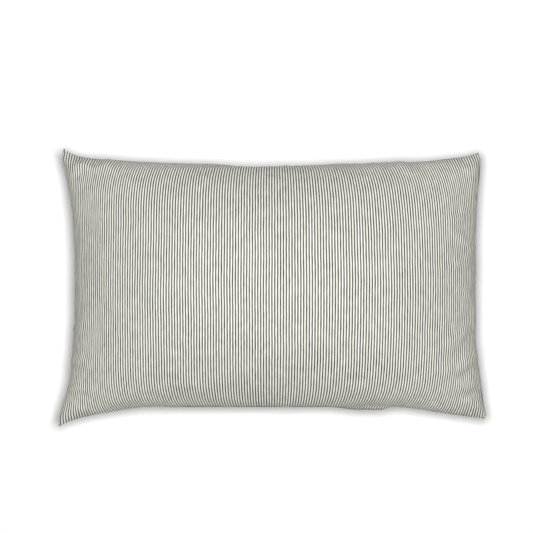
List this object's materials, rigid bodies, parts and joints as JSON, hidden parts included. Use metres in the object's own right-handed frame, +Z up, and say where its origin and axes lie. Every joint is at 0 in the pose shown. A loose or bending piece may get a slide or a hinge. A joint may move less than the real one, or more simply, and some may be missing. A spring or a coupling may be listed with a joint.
{
  "type": "throw pillow",
  "caption": "Rectangular knife-edge throw pillow with a finely striped linen cover, a concealed zip in the bottom seam and a stuffed insert.",
  "frame": {"origin": "on the surface the pillow lies on, under the middle of the pillow", "axes": "+X along the long side, +Y along the short side away from the zip, +Z up out of the front panel"},
  "size_m": [0.58, 0.372, 0.16],
  "materials": {
    "cover_linen": "washed linen, fine ivory and slate stripes along the short side",
    "insert_cotton": "plain white down-proof cotton",
    "filling": "loose white fibre",
    "thread": "spun sewing thread",
    "zip_tape": "woven tape",
    "zip_coil": "moulded nylon monofilament",
    "zip_metal": "plated zinc, fine brushed",
    "label": "satin tape, blank"
  },
  "bodies": {
    "pillow": {"cover_front_panel": "cover_linen", "cover_back_panel": "cover_linen", "insert_casing_front": "insert_cotton", "insert_casing_back": "insert_cotton", "insert_filling": "filling", "insert_seam_thread": "thread", "seam_thread_top": "thread", "seam_thread_left": "thread", "seam_thread_right": "thread", "seam_thread_bottom_left": "thread", "seam_thread_bottom_right": "thread", "overlock_thread_top": "thread", "overlock_thread_left": "thread", "overlock_thread_right": "thread", "overlock_thread_bottom_left": "thread", "overlock_thread_bottom_right": "thread", "zip_tape_front": "zip_tape", "zip_tape_back": "zip_tape", "zip_coil_front": "zip_coil", "zip_coil_back": "zip_coil", "zip_thread_front": "thread", "zip_thread_back": "thread", "zip_top_stop_front": "zip_metal", "zip_top_stop_back": "zip_metal", "zip_bottom_stop": "zip_metal", "care_label": "label"},
    "zip_slider": {"zip_slider": "zip_metal"},
    "zip_pull_tab": {"zip_pull_tab": "zip_metal"}
  },
  "joints": [
    {"name": "zip_travel", "type": "slide", "parent": "pillow", "child": "zip_slider", "axis": [-1, 0, 0], "range_m": [0, 0.289]},
    {"name": "pull_tab_swing", "type": "hinge", "parent": "zip_slider", "child": "zip_pull_tab", "pos_m": [0.1449, -0.1646, 0.072], "axis": [0, 0, 1], "range_deg": [0, 150]}
  ]
}
